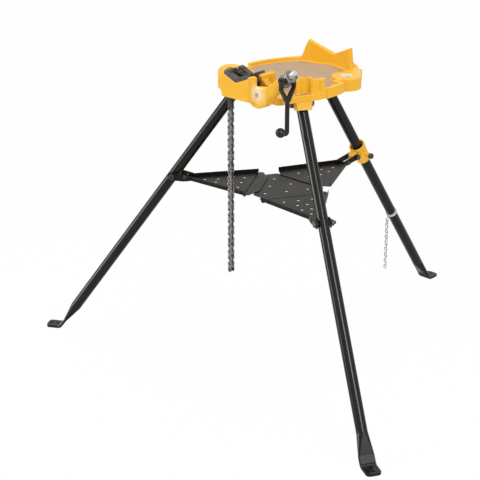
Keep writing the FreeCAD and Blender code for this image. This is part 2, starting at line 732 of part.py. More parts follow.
def tray_bolt():
    shank = rod(V(BOLT_R_POS, -ARM_HALF_OUT - 3.3, BOLT_Z), ACROSS, BOLT_R, 2 * ARM_HALF_OUT + 20)
    head = hexagon(V(BOLT_R_POS, -ARM_HALF_OUT - 9.8, BOLT_Z), ACROSS, 16, 6.5)
    return shank.fuse(head)


def tray_nut():
    nut = hexagon(V(BOLT_R_POS, ARM_HALF_OUT + 3.3, BOLT_Z), ACROSS, 16, 8)
    return nut.cut(rod(V(BOLT_R_POS, 0, BOLT_Z), ACROSS, BOLT_R, 60))


def hinge_strip():
    points = [(STRIP_IN, -60), (STRIP_IN + 24, -ARM_HALF_IN + 2), (HINGE_R - 1.6, -ARM_HALF_IN + 2),
              (HINGE_R - 1.6, ARM_HALF_IN - 2), (STRIP_IN + 24, ARM_HALF_IN - 2), (STRIP_IN, 60)]
    strip = plan(points, TRAY_Z, TRAY_Z + SHEET)
    return strip.fuse(knuckles(1, -3.6, -1.6)).cut(wire_bore(WIRE_R + RUNNING)).removeSplitter()


def hinge_wire():
    return rod(V(HINGE_R, -ARM_HALF_IN + 2, ROLL_Z), ACROSS, WIRE_R, 2 * ARM_HALF_IN - 4)


def panel_edges():
    """Rolled edges under the centre panel, one towards each leg."""
    rolls = []
    wires = []
    for angle in AZIMUTH.values():
        centre_z = PANEL_Z - SHEET - 2.6
        roll = bar(V(PANEL_R - 3.5, -88, centre_z), ACROSS, ROLL_R, 176)
        web = box(PANEL_R - 6.8, -88, centre_z, PANEL_R - 5, 88, PANEL_Z - 0.5)
        roll = roll.fuse(web).cut(bar(V(PANEL_R - 3.5, -95, centre_z), ACROSS, WIRE_R, 190, 8))
        rolls.append(turned(roll, angle))
        wires.append(turned(bar(V(PANEL_R - 3.5, -92, centre_z), ACROSS, WIRE_R, 184, 8), angle))
    return rolls, wires


def centre_panel():
    """Triangle with a point towards the vise end and a tab at each corner."""
    corner = 2 * PANEL_R
    points = []
    for number in range(3):
        angle = math.radians(-90 + 120 * number)
        side = V(-math.sin(angle), math.cos(angle), 0)
        out = V(math.cos(angle), math.sin(angle), 0)
        for sign in (-1, 1):
            points.append(out * (corner - 10) + side * (sign * 17.3))
    panel = plan([(p.x, p.y) for p in points], PANEL_Z - SHEET, PANEL_Z)
    holes = []
    for row in range(3):
        for i in range(3 - row):
            x = (i - (2 - row) / 2) * 66
            holes.append(bar(V(x, 31 - 57 * row, PANEL_Z - 5), UP, PERF_R, 8, 16))
    return panel.fuse(panel_edges()[0]).cut(holes)


def rear_arm():
    arm = tapered_sheet(REAR_ARM_IN, 92, 72, 268, REAR_ARM_END)
    return arm.cut(perforations(115)).cut(rear_rivet_bar())


def rear_rivet_bar():
    return bar(V(REAR_RIVET_R, -40, TRAY_Z + 7), ACROSS, 3, 80)


def rear_clevis():
    """Two plates riveted inside the arm's lips, with round ends on the collar's pin."""
    pieces = []
    end_r = 8.5
    for side in (-1, 1):
        points = [(262, TRAY_Z + SHEET), (REAR_ARM_END + 1, TRAY_Z + SHEET), (REAR_PIN_R, REAR_PIN_Z - end_r),
                  (REAR_PIN_R, REAR_PIN_Z + end_r), (262, TRAY_Z + LIP + 1)]
        plate = prism([V(r, side * REAR_LUG_HALF, z) for r, z in points], V(0, side * 5, 0))
        plate = plate.fuse(rod(V(REAR_PIN_R, side * REAR_LUG_HALF, REAR_PIN_Z), V(0, side, 0), end_r, 5))
        plate = plate.cut([rod(V(REAR_PIN_R, -40, REAR_PIN_Z), ACROSS, 5.05, 80), rear_rivet_bar()])
        pieces.append(plate.removeSplitter())
    return pieces


def rear_rivets():
    pieces = []
    for side in (-1, 1):
        out = V(0, side, 0)
        base = V(REAR_RIVET_R, 0, TRAY_Z + 7)
        shank = bar(base + out * (REAR_LUG_HALF - 0.1), out, 3, 7.4)
        head = faceted_turning(base + out * ARM_HALF_OUT, out, [(0, 5.2), (1.2, 4.7), (2.2, 3.0)], 12)
        pieces.append(shank.fuse(head))
    return pieces


# ---------- rear collar ----------
def rear_collar():
    down = leg_direction()
    top = along_leg(REAR_PIVOT_R, COLLAR_TOP)
    length = COLLAR_LOW - COLLAR_TOP
    body = bar(top, down, 22.6, length, 32).fuse(bar(top, down, 25, 14, 32))
    lug = rod(V(REAR_PIN_R, -REAR_LUG_HALF + 0.3, REAR_PIN_Z), ACROSS, 12, 2 * REAR_LUG_HALF - 0.6)
    root_a = along_leg(REAR_PIVOT_R, COLLAR_TOP + 2)
    root_b = along_leg(REAR_PIVOT_R, COLLAR_LOW - 12)
    link = side_view([(REAR_PIN_R - 4, REAR_PIN_Z + 11), (root_a.x, root_a.z), (root_b.x, root_b.z),
                      (REAR_PIN_R, REAR_PIN_Z - 12)], REAR_LUG_HALF - 0.3)
    boss_centre = along_leg(REAR_PIVOT_R, LOCK_ALONG)
    boss = bar(boss_centre, V(0, -1, 0), 9, 34, 20)
    body = body.fuse([lug, link, boss])
    body = body.cut([rod(top - down * 5, down, TUBE_R + RUNNING, length + 10), rod(top - down, down, 20, 12)])
    body = body.cut([rod(V(REAR_PIN_R, -30, REAR_PIN_Z), ACROSS, 5.0, 60),
                     rod(boss_centre, V(0, -1, 0), 4 + RUNNING, 60),
                     set_screw()])
    return body.removeSplitter()


def collar_pin():
    shank = rod(V(REAR_PIN_R, -REAR_LUG_HALF - 8, REAR_PIN_Z), ACROSS, 5, 2 * REAR_LUG_HALF + 16)
    head = bar(V(REAR_PIN_R, -REAR_LUG_HALF - 11, REAR_PIN_Z), ACROSS, 8, 5.8, 16)
    return shank.fuse(head)


def set_screw():
    centre = along_leg(REAR_PIVOT_R, 356)
    return bar(centre + V(0, TUBE_R + 0.4, 0), ACROSS, 3, 9)


def lock_plunger():
    centre = along_leg(REAR_PIVOT_R, LOCK_ALONG)
    out = V(0, -1, 0)
    shank = rod(centre + out * 14.5, out, 4, 26)
    knob = faceted_turning(centre + out * 34.3, out, [(0, 6.5), (2, 9), (9, 9), (11, 7.5)], 20)
    return shank.fuse(knob)


# ---------- leg keeper ----------
def keeper_ring():
    """Band clamped round the rear leg, with an eye for the small chain."""
    down = leg_direction()
    start = along_leg(REAR_PIVOT_R, KEEPER_ALONG - 5)
    hole = bar(start - down, down, (TUBE_R + 0.03) / math.cos(math.pi / 24), 12, 24)
    band = bar(start, down, TUBE_R + 2.6, 10, 24).cut(hole)
    low = along_leg(REAR_PIVOT_R, KEEPER_ALONG, -TUBE_R - 1)
    eye = bar(V(low.x - 6, -1.5, low.z - 4), ACROSS, 5.5, 3, 16)
    eye = eye.cut(bar(V(low.x - 7, -5, low.z - 5), ACROSS, 3.0, 10, 12))
    return band.fuse(eye.cut(rod(start - down * 5, down, TUBE_R + 0.05, 30)))


def keeper_eye():
    low = along_leg(REAR_PIVOT_R, KEEPER_ALONG, -TUBE_R - 1)
    return V(low.x - 7, 0, low.z - 5)


def small_link(top, flat):
    """Long ring of round-ended outline; links alternate by a quarter turn."""
    length = 14.0
    half = 4.5
    wire = 1.1

    def ring(grow):
        h = half + grow
        ends = []
        for centre_z, sign in ((top.z - half, 1), (top.z - length + half, -1)):
            for angle in (0, 45, 90, 135, 180):
                a = math.radians(angle)
                ends.append(V(top.x + sign * h * math.cos(a), top.y - wire, centre_z + sign * h * math.sin(a)))
        return ends

    outer = prism(ring(0), V(0, 2 * wire, 0))
    inner = prism([p - V(0, 1, 0) for p in ring(-2 * wire)], V(0, 2 * wire + 2, 0))
    link = outer.cut(inner)
    return turned(link, 90, top) if flat else link


def keeper_chain():
    eye = keeper_eye()
    links = []
    top_z = eye.z + 3.0 - 1.35
    for number in range(KEEPER_LINKS):
        links.append(small_link(V(eye.x, 0, top_z - number * KEEPER_PITCH), number % 2 == 0))
    return links, top_z


# ---------- export ----------
def frame_shift():
    """Brings the middle of the footprint, between the front and rear feet, to the origin."""
    corner_r = 14
    rear_reach = foot_corner(REAR_PIVOT_R)[1].x + FOOT_LENGTH
    front_tip = foot_corner(FRONT_PIVOT_R)[1].x + FOOT_LENGTH - corner_r
    side = FOOT_W / 2 - corner_r
    front_reach = -front_tip * 0.5 - side * math.cos(math.radians(30)) - corner_r
    return V(0, -(rear_reach + front_reach) / 2, 0)


FRAME_SHIFT = frame_shift()


def save(name, shapes):
    pieces = shapes if isinstance(shapes, list) else [shapes]
    shape = Part.makeCompound(pieces) if len(pieces) > 1 else pieces[0]
    shape.translate(FRAME_SHIFT)
    shape.exportStep("parts/" + name + ".step")


def place(shape_or_list, azimuth):
    if isinstance(shape_or_list, list):
        return [turned(piece, azimuth) for piece in shape_or_list]
    return turned(shape_or_list, azimuth)


def build():
    save("head_casting", head_casting())
    save("front_vise_jaw", vise_jaw(BLOCK_FRONT))
    save("rear_vise_jaw", vise_jaw(REAR_JAW_Y))
    save("vise_jaw_screws", screw_shapes(BLOCK_FRONT + JAW_T / 2, 0) + screw_shapes(REAR_JAW_Y + JAW_T / 2, 0))
    bolts, nuts = pivot_bolts_and_nuts()
    save("leg_pivot_bolts", bolts)
    save("leg_pivot_nuts", nuts)
    save("chain_guide_pin", rod(V(GUIDE.x, -194.5, GUIDE.z), ACROSS, GUIDE_R, 40))
    groups, free_joints, pins = chain_parts()
    for name, (plates, link_pins) in groups.items():
        save(name + "_chain_plates", plates)
        save(name + "_chain_pins", link_pins)
    save("chain_screw", chain_screw(pins))
    plates, pin = end_link(pins)
    save("screw_end_link", plates)
    save("screw_end_pin", pin)
    save("thrust_washer", thrust_washer())
    save("crank_nut", crank_nut())
    save("crank_pivot_pins", crank_pivot_pins())
    save("crank_fork", crank_fork())
    save("crank_knob", crank_knob())
    for name in ("front_left", "front_right"):
        angle = AZIMUTH[name]
        save(name + "_leg", place(leg(FRONT_PIVOT_R, ((0, 6.05), (BOLT_ALONG, BOLT_R + RUNNING))), angle))
        save(name + "_tray_bolt", place(tray_bolt(), angle))
        save(name + "_tray_nut", place(tray_nut(), angle))
        save(name + "_tray_arm", place(front_arm(), angle))
        save(name + "_tray_brackets", place(brackets(), angle))
        save(name + "_tray_rivets", place(rivets(), angle))
        save(name + "_hinge_strip", place(hinge_strip(), angle))
        save(name + "_hinge_wire", place(hinge_wire(), angle))
    rear = AZIMUTH["rear"]
    save("rear_leg", place(leg(REAR_PIVOT_R, ((0, 6.05),)).cut(lock_slot()), rear))
    save("rear_tray_arm", place(rear_arm(), rear))
    save("rear_tray_clevis", place(rear_clevis(), rear))
    save("rear_tray_rivets", place(rear_rivets(), rear))
    save("rear_collar", place(rear_collar(), rear))
    save("collar_pivot_pin", place(collar_pin(), rear))
    save("collar_set_screw", place(set_screw(), rear))
    save("collar_lock_plunger", place(lock_plunger(), rear))
    save("tray_centre_panel", centre_panel())
    save("tray_centre_wires", panel_edges()[1])
    save("leg_keeper_ring", place(keeper_ring(), rear))
    links, top_z = keeper_chain()
    save("keeper_chain_upper", place(links[:KEEPER_UPPER], rear))
    save("keeper_chain_lower", place(links[KEEPER_UPPER:], rear))
    report(free_joints, pins, top_z)


def report(free_joints, pins, top_z):
    """Prints the places that the record's joints need."""
    start, direction = screw_axis()
    print("FRAME_SHIFT y", FRAME_SHIFT.y)
    print("free chain joints", [tuple(round(c, 3) for c in p) for p in free_joints])
    print("chain end", pins[-1])
    print("screw direction", direction, "nut", NUT)
    print("keeper eye", keeper_eye(), "top", top_z)


build()
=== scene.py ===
import json
import math

import bpy
from mathutils import Matrix, Vector


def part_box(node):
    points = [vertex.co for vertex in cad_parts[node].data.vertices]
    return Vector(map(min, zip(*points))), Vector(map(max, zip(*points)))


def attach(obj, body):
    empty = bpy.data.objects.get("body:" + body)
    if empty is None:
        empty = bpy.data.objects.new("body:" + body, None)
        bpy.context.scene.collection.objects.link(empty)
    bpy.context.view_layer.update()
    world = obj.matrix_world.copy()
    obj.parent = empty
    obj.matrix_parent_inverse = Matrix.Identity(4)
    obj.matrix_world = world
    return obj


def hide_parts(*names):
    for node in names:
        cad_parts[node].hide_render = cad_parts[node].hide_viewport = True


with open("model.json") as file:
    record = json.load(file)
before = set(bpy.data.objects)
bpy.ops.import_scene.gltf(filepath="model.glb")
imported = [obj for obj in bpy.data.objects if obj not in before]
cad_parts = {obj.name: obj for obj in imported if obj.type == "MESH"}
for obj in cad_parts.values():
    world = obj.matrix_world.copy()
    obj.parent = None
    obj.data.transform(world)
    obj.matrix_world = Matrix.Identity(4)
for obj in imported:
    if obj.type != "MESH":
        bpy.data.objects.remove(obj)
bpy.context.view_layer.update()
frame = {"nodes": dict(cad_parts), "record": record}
NODES = frame["nodes"]

# ---------------------------------------------------------------- camera
VIEW_AZIMUTH = math.radians(43.26)
VIEW_ELEVATION = math.radians(22.21)
camera_data = bpy.data.cameras.new("stand_camera")
camera_data.sensor_width = 36.0
camera_data.lens = 102.56
camera_data.clip_end = 30.0
camera = bpy.data.objects.new("stand_camera", camera_data)
camera.location = (2.5183, -3.06495, 1.9228)
camera.rotation_euler = (math.pi / 2 - VIEW_ELEVATION, 0.0, VIEW_AZIMUTH)
bpy.context.scene.collection.objects.link(camera)
bpy.context.scene.camera = camera


# ---------------------------------------------------------------- bench work
def put_down_everything():
    if bpy.context.object and bpy.context.object.mode != "OBJECT":
        bpy.ops.object.mode_set(mode="OBJECT")
    bpy.ops.object.select_all(action="DESELECT")


def take(*pieces):
    put_down_everything()
    for piece in pieces:
        piece.select_set(True)
    bpy.context.view_layer.objects.active = pieces[0]


def fix_modifiers(piece):
    take(piece)
    for modifier in list(piece.modifiers):
        bpy.ops.object.modifier_apply(modifier=modifier.name)


def fix_place(piece):
    take(piece)
    bpy.ops.object.transform_apply(location=True, rotation=True, scale=True)


def place_mesh(piece, matrix):
    piece.data.transform(matrix)
    piece.data.update()


def copy_of(piece, name):
    twin = piece.copy()
    twin.data = piece.data.copy()
    twin.name = name
    bpy.context.scene.collection.objects.link(twin)
    return twin


def welded(pieces, name):
    take(*pieces)
    if len(pieces) > 1:
        bpy.ops.object.join()
    whole = bpy.context.view_layer.objects.active
    whole.name = name
    whole.data.name = name
    return whole


def smooth(piece, degrees=35):
    take(piece)
    bpy.ops.object.shade_smooth_by_angle(angle=math.radians(degrees))


def ease_edges(piece, width, steps=2, degrees=30):
    bevel = piece.modifiers.new("eased_edges", "BEVEL")
    bevel.width = width
    bevel.segments = steps
    bevel.limit_method = "ANGLE"
    bevel.angle_limit = math.radians(degrees)
    fix_modifiers(piece)


def finish_piece(piece, body, material, stands_for=()):
    piece.data.materials.clear()
    piece.data.materials.append(material)
    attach(piece, body)
    if stands_for:
        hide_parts(*stands_for)
    return piece


def foundry_copy(name, nodes, grain, rounds, keep):
    """The CAD solids as one skin with the soft edges of a casting or a forging."""
    copies = []
    for node in nodes:
        source = NODES[node]
        twin = bpy.data.objects.new(name, source.data.copy())
        twin.matrix_world = Matrix.Identity(4)
        bpy.context.scene.collection.objects.link(twin)
        copies.append(twin)
    skin = welded(copies, name)
    take(skin)
    bpy.ops.object.mode_set(mode="EDIT")
    bpy.ops.mesh.select_all(action="SELECT")
    bpy.ops.mesh.remove_doubles(threshold=0.000004)
    bpy.ops.object.mode_set(mode="OBJECT")
    remesh = skin.modifiers.new("mould", "REMESH")
    remesh.mode = "VOXEL"
    remesh.voxel_size = grain
    relax = skin.modifiers.new("soft_edges", "SMOOTH")
    relax.factor = 0.5
    relax.iterations = rounds
    if keep < 1.0:
        thin = skin.modifiers.new("fewer_faces", "DECIMATE")
        thin.ratio = keep
    fix_modifiers(skin)
    smooth(skin, 60)
    return skin


# ---------------------------------------------------------------- node trees
def feed(tree, socket, value):
    """Links a socket from another one, or sets its plain value."""
    if isinstance(value, bpy.types.NodeSocket):
        tree.links.new(value, socket)
    else:
        socket.default_value = value


def calc(tree, operation, *values):
    node = tree.nodes.new("ShaderNodeMath")
    node.operation = operation
    for socket, value in zip(node.inputs, values):
        feed(tree, socket, value)
    return node.outputs[0]


def vector_calc(tree, operation, *values):
    node = tree.nodes.new("ShaderNodeVectorMath")
    node.operation = operation
    for socket, value in zip(node.inputs, values):
        feed(tree, socket, value)
    return node.outputs["Value"] if operation == "LENGTH" else node.outputs["Vector"]


def ramp(tree, value, low, high, to_low=0.0, to_high=1.0, shape="LINEAR"):
    node = tree.nodes.new("ShaderNodeMapRange")
    node.interpolation_type = shape
    for name, item in (("Value", value), ("From Min", low), ("From Max", high),
                       ("To Min", to_low), ("To Max", to_high)):
        feed(tree, node.inputs[name], item)
    return node.outputs["Result"]


def mix(tree, kind, factor, first, second):
    node = tree.nodes.new("ShaderNodeMix")
    node.data_type = kind
    for name, item in (("Factor", factor), ("A", first), ("B", second)):
        feed(tree, node.inputs[name], item)
    return node.outputs["Result"]


def noise(tree, vector, scale, detail):
    node = tree.nodes.new("ShaderNodeTexNoise")
    for name, item in (("Vector", vector), ("Scale", scale), ("Detail", detail)):
        feed(tree, node.inputs[name], item)
    return node.outputs["Fac"]


def split(tree, vector):
    node = tree.nodes.new("ShaderNodeSeparateXYZ")
    tree.links.new(vector, node.inputs["Vector"])
    return node.outputs


def object_place(tree):
    return tree.nodes.new("ShaderNodeTexCoord").outputs["Object"]


# ---------------------------------------------------------------- finishes
RUBBED_NOISE_SCALE = 90.0
RUBBED_NOISE_SHARE = 0.16
RUBBED_START = 0.60
RUBBED_FULL = 0.72


def make_group(name, inputs, outputs):
    """An empty node group with its sockets. Gives the tree, its inlet's sockets and its outlet's."""
    group = bpy.data.node_groups.new(name, "ShaderNodeTree")
    for socket_name, kind in inputs:
        group.interface.new_socket(name=socket_name, in_out="INPUT", socket_type=kind)
    for socket_name, kind in outputs:
        group.interface.new_socket(name=socket_name, in_out="OUTPUT", socket_type=kind)
    return group, group.nodes.new("NodeGroupInput").outputs, group.nodes.new("NodeGroupOutput").inputs


def make_surface_group():
    """Slow drift of colour and roughness, and fine grain."""
    group, given, result = make_group(
        "surface_variation",
        (("Vector", "NodeSocketVector"), ("Light Colour", "NodeSocketColor"),
         ("Dark Colour", "NodeSocketColor"), ("Patch Scale", "NodeSocketFloat"),
         ("Grain Scale", "NodeSocketFloat"), ("Rough Low", "NodeSocketFloat"),
         ("Rough High", "NodeSocketFloat")),
        (("Colour", "NodeSocketColor"), ("Roughness", "NodeSocketFloat"), ("Height", "NodeSocketFloat")))
    patch = noise(group, given["Vector"], given["Patch Scale"], 4.0)
    grain = noise(group, given["Vector"], given["Grain Scale"], 2.0)
    colour = mix(group, "RGBA", patch, given["Light Colour"], given["Dark Colour"])
    roughness = ramp(group, patch, 0.0, 1.0, given["Rough Low"], given["Rough High"])
    group.links.new(colour, result["Colour"])
    group.links.new(roughness, result["Roughness"])
    group.links.new(grain, result["Height"])
    return group


def make_edge_group():
    """A mask that is high on rubbed convex edges and broken up by noise."""
    group, given, result = make_group("rubbed_edges", (("Vector", "NodeSocketVector"),),
                                      (("Mask", "NodeSocketFloat"),))
    pointiness = group.nodes.new("ShaderNodeNewGeometry").outputs["Pointiness"]
    broken = noise(group, given["Vector"], RUBBED_NOISE_SCALE, 3.0)
    rubbed = calc(group, "MULTIPLY_ADD", broken, RUBBED_NOISE_SHARE, pointiness)
    group.links.new(ramp(group, rubbed, RUBBED_START, RUBBED_FULL), result["Mask"])
    return group


SURFACE = make_surface_group()
EDGES = make_edge_group()


def tint_where(material, mask, tint):
    """Mixes a tint into the base colour where the mask is high."""
    tree = material.node_tree
    base = tree.nodes["Principled BSDF"].inputs["Base Color"]
    tree.links.new(mix(tree, "RGBA", mask, base.links[0].from_socket, (*tint, 1)), base)


def finish(name, light, dark, rough, patch, grain, bump, bump_distance, metallic=0.0, worn=None, gloss=0.5):
    """Material of one finish: drifted colour, grain and, where given, rubbed edges."""
    material = bpy.data.materials.new(name)
    material.use_nodes = True
    tree = material.node_tree
    shader = tree.nodes["Principled BSDF"]
    shader.inputs["Metallic"].default_value = metallic
    shader.inputs["Specular IOR Level"].default_value = gloss
    place = object_place(tree)
    surface = tree.nodes.new("ShaderNodeGroup")
    surface.node_tree = SURFACE
    for socket_name, value in (("Vector", place), ("Light Colour", (*light, 1)), ("Dark Colour", (*dark, 1)),
                               ("Patch Scale", patch), ("Grain Scale", grain),
                               ("Rough Low", rough[0]), ("Rough High", rough[1])):
        feed(tree, surface.inputs[socket_name], value)
    tree.links.new(surface.outputs["Colour"], shader.inputs["Base Color"])
    tree.links.new(surface.outputs["Roughness"], shader.inputs["Roughness"])
    if worn:
        edges = tree.nodes.new("ShaderNodeGroup")
        edges.node_tree = EDGES
        tree.links.new(place, edges.inputs["Vector"])
        tint_where(material, edges.outputs["Mask"], worn)
    relief = tree.nodes.new("ShaderNodeBump")
    relief.inputs["Strength"].default_value = bump
    relief.inputs["Distance"].default_value = bump_distance
    tree.links.new(surface.outputs["Height"], relief.inputs["Height"])
    tree.links.new(relief.outputs["Normal"], shader.inputs["Normal"])
    return material


PLATE_FLOOR_TOP = 0.8658
PLATE_FLOOR_FADE = 0.0014
BLOCK_BACK = -0.300
BLOCK_FADE = 0.030
LEVEL_START = 0.90
LEVEL_FULL = 0.99
SCUFF_SCALE = 22.0
SCUFF_NOISE_SPAN = (0.25, 0.62)
SCUFF_SHARE_SPAN = (0.78, 0.98)
WORN_FLOOR_TINT = (0.435, 0.33, 0.235)
WORN_FLOOR_ROUGHNESS = 0.72


def add_worn_floor(material):
    """The flat of the plate behind the block is rubbed dull: a tan film over the paint, in patches."""
    tree = material.node_tree
    place = object_place(tree)
    normal = tree.nodes.new("ShaderNodeNewGeometry").outputs["Normal"]
    worn = ramp(tree, split(tree, place)["Z"], PLATE_FLOOR_TOP + PLATE_FLOOR_FADE, PLATE_FLOOR_TOP)
    behind_block = ramp(tree, split(tree, place)["Y"], BLOCK_BACK - BLOCK_FADE, BLOCK_BACK)
    level = ramp(tree, split(tree, normal)["Z"], LEVEL_START, LEVEL_FULL)
    scuffs = ramp(tree, noise(tree, place, SCUFF_SCALE, 6.0), *SCUFF_NOISE_SPAN, *SCUFF_SHARE_SPAN)
    for share in (behind_block, level, scuffs):
        worn = calc(tree, "MULTIPLY", worn, share)
    tint_where(material, worn, WORN_FLOOR_TINT)
    rough = tree.nodes["Principled BSDF"].inputs["Roughness"]
    tree.links.new(mix(tree, "FLOAT", worn, rough.links[0].from_socket, WORN_FLOOR_ROUGHNESS), rough)


def add_painted_light_patch(material, middle, axes, span, tint):
    """Painted light: a patch of another colour that stands for light or highlight, full inside span[0] of a
    line or a point and gone at span[1].
    """
    tree = material.node_tree
    offset = vector_calc(tree, "SUBTRACT", object_place(tree), middle)
    distance = vector_calc(tree, "LENGTH", vector_calc(tree, "MULTIPLY", offset, axes))
    tint_where(material, ramp(tree, distance, span[1], span[0]), tint)


CASTING_LIGHT = (1.0, 0.55, 0.028)
CASTING_DARK = (0.94, 0.46, 0.018)
CASTING_RUBBED = (0.95, 0.62, 0.16)
CASTING_ROUGH = (0.28, 0.44)
EAR_BORE_AXIS = (0.129, -0.07965, 0)
GUIDE_BOSS_MIDDLE = (0.068, -0.3925, 0.876)

YELLOW = finish("yellow_casting_paint", CASTING_LIGHT, CASTING_DARK, CASTING_ROUGH,
                patch=9.0, grain=260.0, bump=0.18, bump_distance=0.0006, worn=CASTING_RUBBED, gloss=0.35)
add_worn_floor(YELLOW)
# Painted light: the ear's bore is painted near-white. This stands for the bright light seen through the
# hole.
add_painted_light_patch(YELLOW, EAR_BORE_AXIS, axes=(1, 1, 0), span=(0.0182, 0.0190), tint=(0.92, 0.90, 0.86))
# Painted highlight: a cream patch on the guide boss's face. This stands for the strong highlight on it.
add_painted_light_patch(YELLOW, GUIDE_BOSS_MIDDLE, axes=(1, 2.6, 1), span=(0.010, 0.034), tint=(1.0, 0.80, 0.46))
COLLAR_YELLOW = finish("yellow_collar_paint", CASTING_LIGHT, CASTING_DARK, CASTING_ROUGH,
                       patch=14.0, grain=320.0, bump=0.15, bump_distance=0.0005, worn=CASTING_RUBBED,
                       gloss=0.35)
LEG_BLACK = finish("black_leg_enamel", (0.0075, 0.0067, 0.0052), (0.014, 0.0125, 0.0095), (0.10, 0.20),
                   patch=7.0, grain=180.0, bump=0.05, bump_distance=0.0006, gloss=0.20)
TRAY_BLACK = finish("black_tray_enamel", (0.0085, 0.0064, 0.0038), (0.0135, 0.0105, 0.0065), (0.28, 0.44),
                    patch=11.0, grain=320.0, bump=0.08, bump_distance=0.0006, gloss=0.14)
CRANK_BLACK = finish("black_forging", (0.008, 0.008, 0.009), (0.016, 0.015, 0.014), (0.20, 0.34),
                     patch=30.0, grain=420.0, bump=0.14, bump_distance=0.0005, worn=(0.06, 0.055, 0.05),
                     gloss=0.3)
JAW_STEEL = finish("black_jaw_steel", (0.014, 0.012, 0.014), (0.034, 0.028, 0.030), (0.34, 0.52),
                   patch=40.0, grain=520.0, bump=0.2, bump_distance=0.0005, metallic=0.1,
                   worn=(0.10, 0.09, 0.09), gloss=0.3)
# Painted shade: a darker copy of the chain steel for the run seated in the V channel. It stands for the
# shade that run lies in.
PAINTED_SHADE_CHAIN = finish("painted_shade_chain_steel", (0.030, 0.027, 0.028), (0.012, 0.011, 0.012), (0.30, 0.46),
                    patch=60.0, grain=700.0, bump=0.1, bump_distance=0.0004, metallic=0.3,
                    worn=(0.12, 0.11, 0.11), gloss=0.3)
CHAIN_STEEL = finish("oiled_chain_steel", (0.24, 0.23, 0.225), (0.020, 0.018, 0.018), (0.26, 0.42),
                     patch=75.0, grain=700.0, bump=0.1, bump_distance=0.0004, metallic=0.85,
                     worn=(0.46, 0.45, 0.44))
PIN_STEEL = finish("dark_pin_steel", (0.05, 0.048, 0.046), (0.02, 0.019, 0.018), (0.30, 0.46),
                   patch=80.0, grain=700.0, bump=0.1, bump_distance=0.0004, metallic=0.6, gloss=0.3)
ZINC = finish("zinc_plate", (0.36, 0.36, 0.355), (0.16, 0.16, 0.16), (0.20, 0.38),
              patch=60.0, grain=600.0, bump=0.08, bump_distance=0.0004, metallic=0.95,
              worn=(0.70, 0.70, 0.69))
NUT_ZINC = finish("worn_nut_zinc", (0.34, 0.335, 0.31), (0.11, 0.108, 0.10), (0.20, 0.38),
                  patch=60.0, grain=600.0, bump=0.08, bump_distance=0.0004, metallic=0.95,
                  worn=(0.66, 0.65, 0.62))
KEEPER_ZINC = finish("bright_link_zinc", (0.40, 0.40, 0.39), (0.13, 0.13, 0.125), (0.18, 0.32),
                     patch=90.0, grain=600.0, bump=0.08, bump_distance=0.0004, metallic=0.95,
                     worn=(0.80, 0.80, 0.79))
DARK_BOLT = finish("oiled_bolt_steel", (0.030, 0.027, 0.024), (0.012, 0.011, 0.010), (0.32, 0.46),
                   patch=60.0, grain=600.0, bump=0.08, bump_distance=0.0004, metallic=0.2,
                   worn=(0.10, 0.095, 0.09), gloss=0.25)

SLOT_FINISH = {"yellow_paint": COLLAR_YELLOW, "leg_paint": LEG_BLACK, "tray_paint": TRAY_BLACK,
               "black_gloss": CRANK_BLACK, "black_steel": JAW_STEEL, "dark_steel": PIN_STEEL,
               "chain_steel": CHAIN_STEEL, "zinc_steel": ZINC}
for entry in frame["record"]["subparts"]:
    for material_slot in NODES[entry["node"]].material_slots:
        material_slot.material = SLOT_FINISH[entry["material_slot"]]
FASTENERS = [name for name in NODES if name.endswith(("_bolt", "_bolts", "_nut", "_nuts", "_rivets"))]
for name in FASTENERS + ["collar_pivot_pin", "collar_set_screw", "collar_lock_plunger"]:
    if name != "crank_nut":
        for material_slot in NODES[name].material_slots:
            material_slot.material = DARK_BOLT


# ---------------------------------------------------------------- castings and forgings
head = foundry_copy("head_casting_skin", ["head_casting"], grain=0.0019, rounds=3, keep=0.55)
finish_piece(head, "head", YELLOW, ["head_casting"])

crank = foundry_copy("crank_forging", ["crank_fork", "crank_knob"], grain=0.0008, rounds=5, keep=0.8)
finish_piece(crank, "crank", CRANK_BLACK, ["crank_fork", "crank_knob"])

collar = foundry_copy("leg_collar_casting", ["rear_collar"], grain=0.0010, rounds=4, keep=0.6)
finish_piece(collar, "rear_collar", COLLAR_YELLOW, ["rear_collar"])

nut = foundry_copy("ribbed_screw_nut", ["crank_nut"], grain=0.0006, rounds=3, keep=0.8)
finish_piece(nut, "crank_nut", NUT_ZINC, ["crank_nut"])


# ---------------------------------------------------------------- vise chain
PITCH = 0.01905
PLATE_HALF_WIDTH = 0.0074
INNER_PLATE_OFFSET = 0.0019
OUTER_PLATE_OFFSET = 0.0050


def centres_in(node, reach=0.008):
    """Middle of every pin in a node, found by grouping its points across the chain's plane."""
    found = []
    for vertex in NODES[node].data.vertices:
        point = Vector((vertex.co.x, vertex.co.z))
        for heap in found:
            if (heap[0] - point).length < reach:
                heap[1].append(point)
                break
        else:
            found.append([point, [point]])
    middles = []
    for _, points in found:
        xs = [p.x for p in points]
        zs = [p.y for p in points]
        middles.append(Vector(((min(xs) + max(xs)) / 2, 0, (min(zs) + max(zs)) / 2)))
    return middles


def in_order(points, start):
    left = list(points)
    chain = [start]
    while left:
        nearest = min(left, key=lambda p: (p - chain[-1]).length)
        left.remove(nearest)
        chain.append(nearest)
    return chain[1:]


def pick(piece, kind, test):
    """Leaves the piece in edit mode with only the passing points or edges picked."""
    take(piece)
    bpy.ops.object.mode_set(mode="EDIT")
    bpy.ops.mesh.select_mode(type=kind)
    bpy.ops.mesh.select_all(action="DESELECT")
    bpy.ops.object.mode_set(mode="OBJECT")
    parts = piece.data.vertices if kind == "VERT" else piece.data.edges
    for part in parts:
        part.select = test(part)
    bpy.ops.object.mode_set(mode="EDIT")


